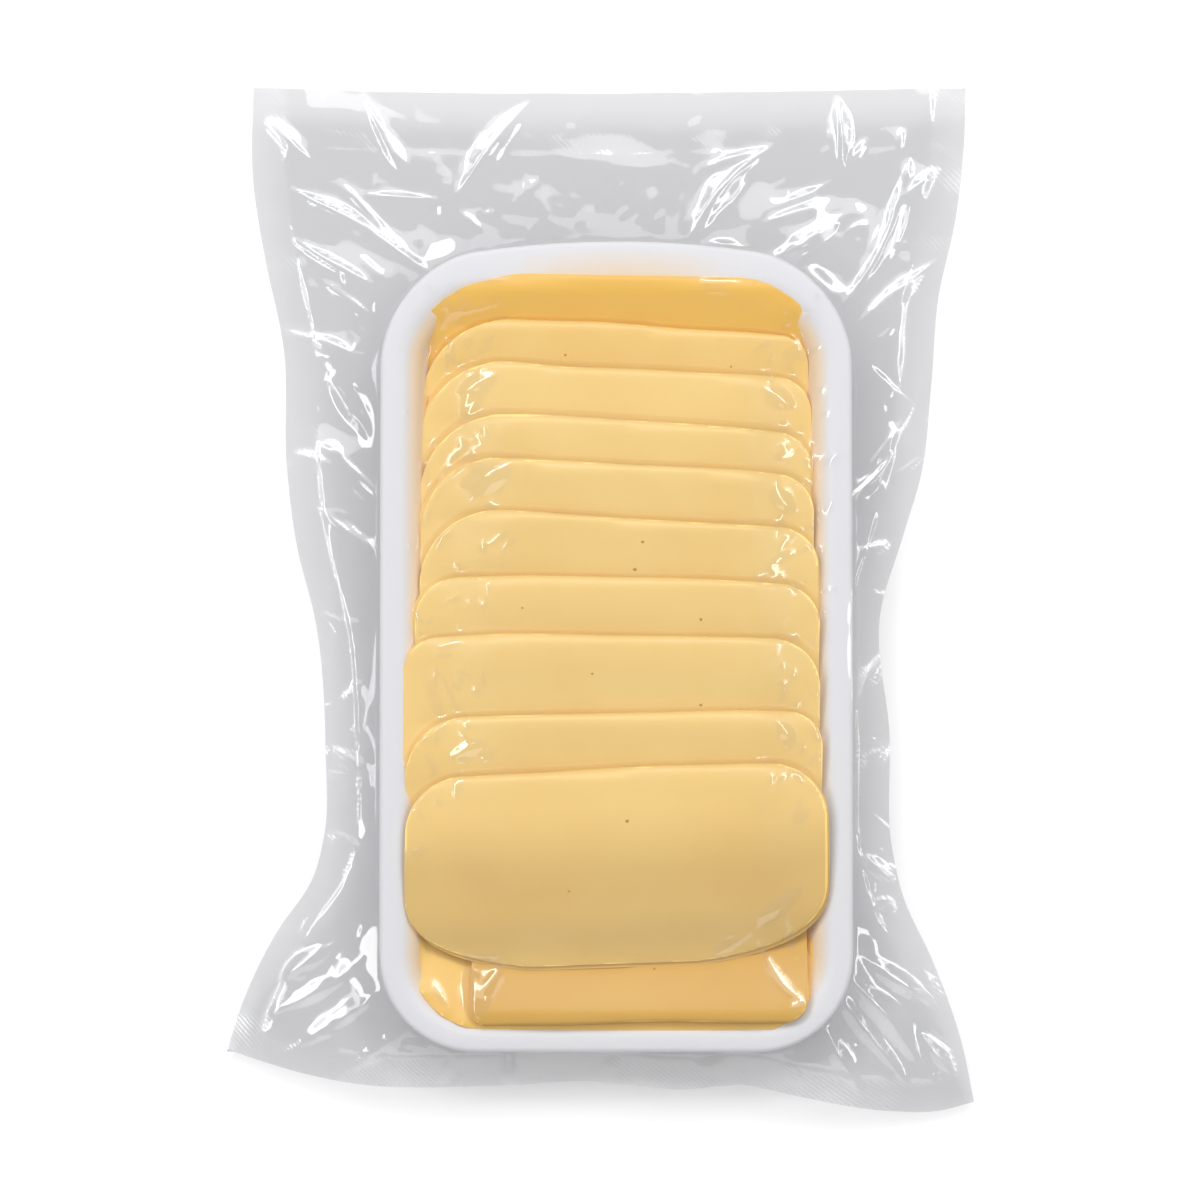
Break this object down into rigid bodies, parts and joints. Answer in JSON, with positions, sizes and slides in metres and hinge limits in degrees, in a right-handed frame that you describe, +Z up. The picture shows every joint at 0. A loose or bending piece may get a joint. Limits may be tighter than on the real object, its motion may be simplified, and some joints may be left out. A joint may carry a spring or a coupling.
{
  "type": "vacuum pack of sliced cheese",
  "caption": "Clear vacuum pouch drawn tight over folded, shingled cheese slices on a shallow white foam tray, with a wrinkled sealed margin all round.",
  "frame": {"origin": "on the surface that the pack lies on, under the middle of the pouch's outline", "axes": "+X across the pack, +Y along the tray towards its far end with the deeper margin, +Z up out of the side that shows the slices"},
  "size_m": [0.1939, 0.2661, 0.0204],
  "materials": {
    "film": "clear glossy barrier film",
    "cheese": "smooth pale yellow cheese, soft satin",
    "tray": "white foamed polystyrene, satin"
  },
  "bodies": {
    "root": {"vacuum_pouch": "film"}
  },
  "joints": []
}
